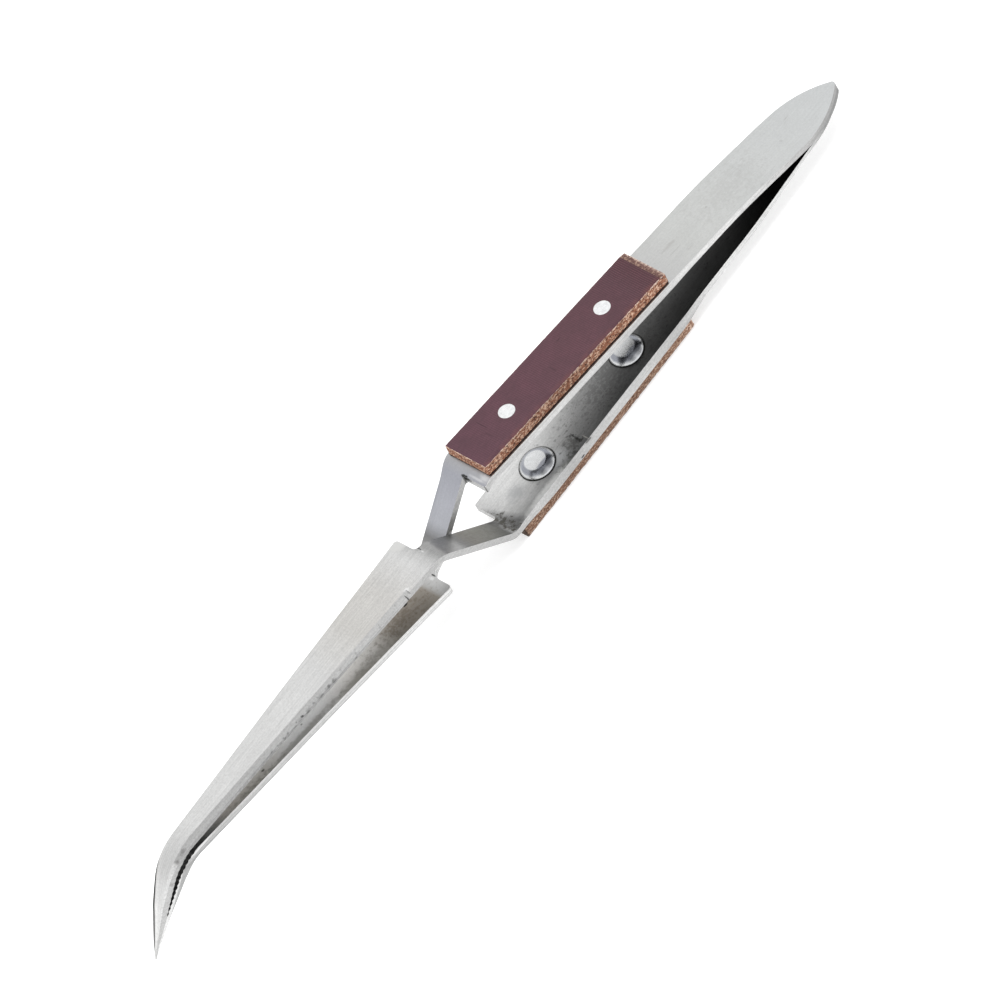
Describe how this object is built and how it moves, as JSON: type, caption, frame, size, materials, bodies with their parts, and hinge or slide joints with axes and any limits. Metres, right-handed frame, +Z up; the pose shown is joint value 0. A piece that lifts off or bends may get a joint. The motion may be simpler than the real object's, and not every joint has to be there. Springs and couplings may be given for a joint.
{
  "type": "cross-locking tweezers",
  "caption": "Cross-locking tweezers: two sheet arms welded at the rear cross over at narrow necks, with riveted fibre grip plates and bent serrated tips that spring closed.",
  "frame": {"origin": "centre of the lower grip plate's outer face, on which the tweezers lie, in the middle plane of the arms", "axes": "+X from the welded rear end towards the jaws along the lower grip plate, +Y across the arms to the side on which the lower arm's neck runs, +Z up from the lower grip plate to the upper one"},
  "size_m": [0.1644, 0.0095, 0.0178],
  "materials": {
    "arm_metal": "satin, with fine brush lines",
    "grip_fibre": "matt, with sawn laminate edges",
    "rivet_metal": "satin"
  },
  "bodies": {
    "upper_half": {"upper_arm": "arm_metal", "upper_grip": "grip_fibre", "upper_rear_rivet": "rivet_metal", "upper_front_rivet": "rivet_metal"},
    "lower_half": {"lower_arm": "arm_metal", "lower_grip": "grip_fibre", "lower_rear_rivet": "rivet_metal", "lower_front_rivet": "rivet_metal"}
  },
  "joints": [
    {"name": "squeeze", "type": "hinge", "parent": "upper_half", "child": "lower_half", "pos_m": [-0.05061, 0, 0.00486], "axis": [0, -1, 0], "range_deg": [0, 6], "stiffness_Nm_per_rad": 2, "springref_deg": -5.73}
  ]
}
